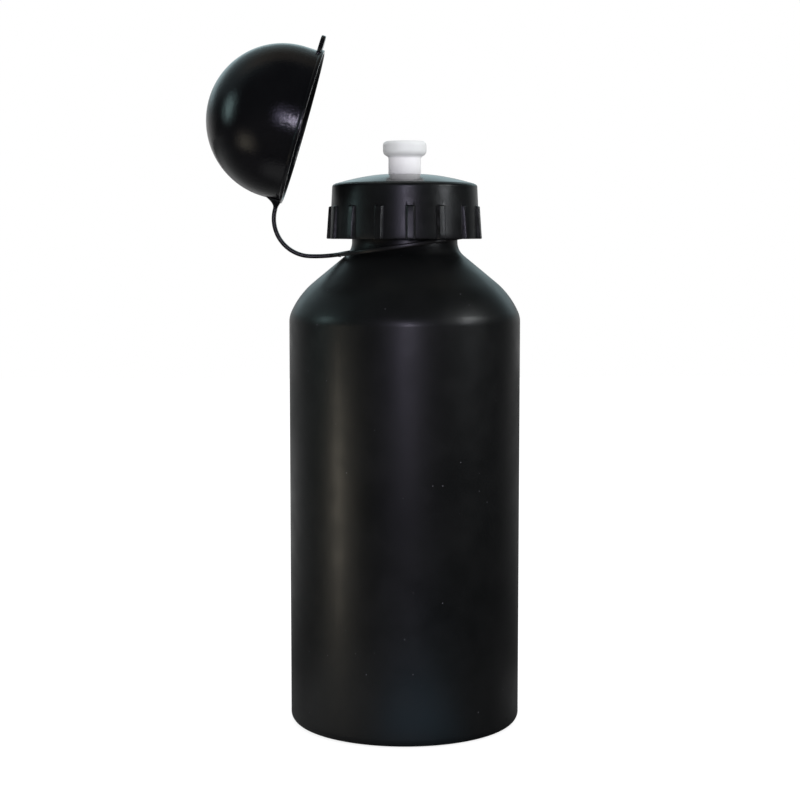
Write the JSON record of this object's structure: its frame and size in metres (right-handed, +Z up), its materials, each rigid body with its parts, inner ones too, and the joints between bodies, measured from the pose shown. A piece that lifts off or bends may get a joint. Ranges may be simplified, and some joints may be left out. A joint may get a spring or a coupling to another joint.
{
  "type": "sports bottle",
  "caption": "Rigid metal sports bottle with a ribbed screw cap, a push-pull drinking nozzle and a tethered dome cover standing open.",
  "frame": {"origin": "middle of the room that the bottle with its cover open takes up on a table; the bottle's own axis stands 11.6 mm towards +X from it", "axes": "+Z up along the bottle's axis; the tether and the open dome cover lie towards -X; -Y faces the viewer of the picture"},
  "size_m": [0.0892, 0.066, 0.1968],
  "materials": {
    "lacquered_aluminium": "matte black baked lacquer",
    "cap_polypropylene": "moulded black polypropylene, fine spark texture",
    "cover_polyethylene": "moulded soft black polyethylene, semi-gloss",
    "nozzle_polyethylene": "translucent white soft polyethylene",
    "gasket_silicone": "matte food-grade silicone"
  },
  "bodies": {
    "bottle": {"bottle_shell": "lacquered_aluminium"},
    "cap_seal": {"cap_gasket": "gasket_silicone"},
    "cap": {"screw_cap": "cap_polypropylene"},
    "nozzle": {"pull_nozzle": "nozzle_polyethylene"},
    "neck_ring": {"tether_ring": "cover_polyethylene"},
    "strap_1": {"tether_link_1": "cover_polyethylene"},
    "strap_2": {"tether_link_2": "cover_polyethylene"},
    "strap_3": {"tether_link_3": "cover_polyethylene"},
    "strap_4": {"tether_link_4": "cover_polyethylene"},
    "strap_5": {"tether_link_5": "cover_polyethylene"},
    "cover": {"dome_cover": "cover_polyethylene"}
  },
  "joints": [
    {"name": "cap_lift", "type": "slide", "parent": "bottle", "child": "cap_seal", "axis": [0, 0, 1], "range_m": [0, 0.01201]},
    {"name": "cap_turn", "type": "hinge", "parent": "cap_seal", "child": "cap", "pos_m": [0.01158, 0, 0.145], "axis": [0, 0, 1], "range_deg": [0, 1080]},
    {"name": "nozzle_pull", "type": "slide", "parent": "cap", "child": "nozzle", "axis": [0, 0, 1], "range_m": [0, 0.0045]},
    {"name": "tether_swivel", "type": "hinge", "parent": "cap_seal", "child": "neck_ring", "pos_m": [0.01158, 0, 0.13753], "axis": [0, 0, 1], "continuous": true},
    {"name": "strap_bend_1", "type": "hinge", "parent": "neck_ring", "child": "strap_1", "pos_m": [-0.00813, 0, 0.13466], "axis": [0, -1, 0], "range_deg": [-12.37, 14]},
    {"name": "strap_bend_2", "type": "hinge", "parent": "strap_1", "child": "strap_2", "pos_m": [-0.01327, 0, 0.13429], "axis": [0, -1, 0], "range_deg": [-12.37, 14]},
    {"name": "strap_bend_3", "type": "hinge", "parent": "strap_2", "child": "strap_3", "pos_m": [-0.01838, 0, 0.13483], "axis": [0, -1, 0], "range_deg": [-12.37, 14]},
    {"name": "strap_bend_4", "type": "hinge", "parent": "strap_3", "child": "strap_4", "pos_m": [-0.0227, 0, 0.13754], "axis": [0, -1, 0], "range_deg": [-12.37, 14]},
    {"name": "strap_bend_5", "type": "hinge", "parent": "strap_4", "child": "strap_5", "pos_m": [-0.02524, 0, 0.14197], "axis": [0, -1, 0], "range_deg": [-12.37, 14]},
    {"name": "cover_tip", "type": "hinge", "parent": "strap_5", "child": "cover", "pos_m": [-0.02541, 0, 0.14708], "axis": [0, -1, 0], "range_deg": [-11.85, 12]}
  ],
  "couplings": [
    {"joint": "cap_lift", "follows": "cap_turn", "m_per_rad": 0.00063662}
  ]
}
